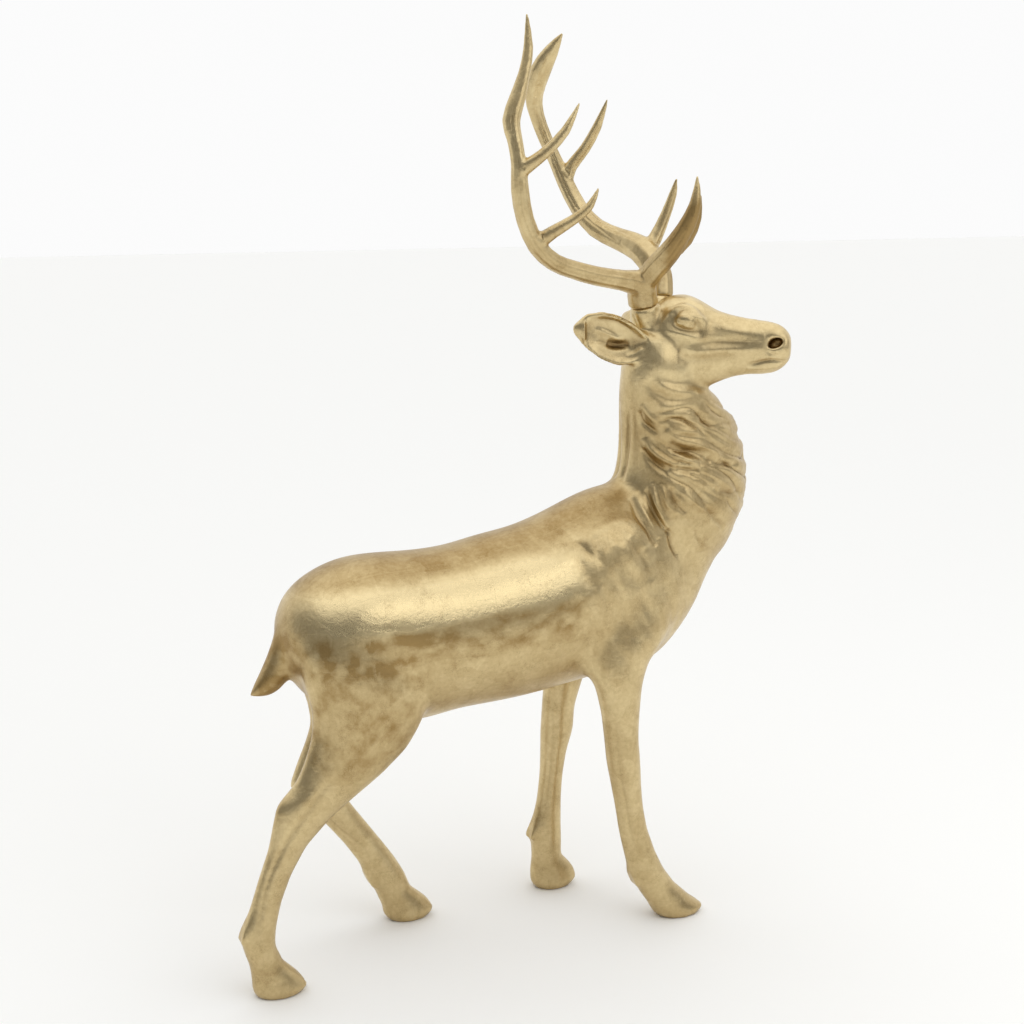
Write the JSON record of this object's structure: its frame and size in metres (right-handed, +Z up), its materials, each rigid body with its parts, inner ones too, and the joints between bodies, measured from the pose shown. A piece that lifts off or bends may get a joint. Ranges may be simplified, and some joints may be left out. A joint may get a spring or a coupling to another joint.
{
  "type": "bronze deer sculpture",
  "caption": "Life-size standing stag statue in hollow cast bronze with a gold-leaf finish, walking stance, head turned aside, branching antlers, on its own four hooves.",
  "frame": {"origin": "on the ground, under the middle of the figure's bounding box", "axes": "+X towards the stag's front, +Y to its left, +Z up from the ground to the antler tips"},
  "size_m": [1.2574, 0.57, 2.0025],
  "materials": {
    "gilt_bronze": "satin pale gold leaf over cast bronze, with olive-brown toning where it has dulled"
  },
  "bodies": {
    "root": {"stag_body": "gilt_bronze", "antler_right": "gilt_bronze", "antler_left": "gilt_bronze"}
  },
  "joints": []
}
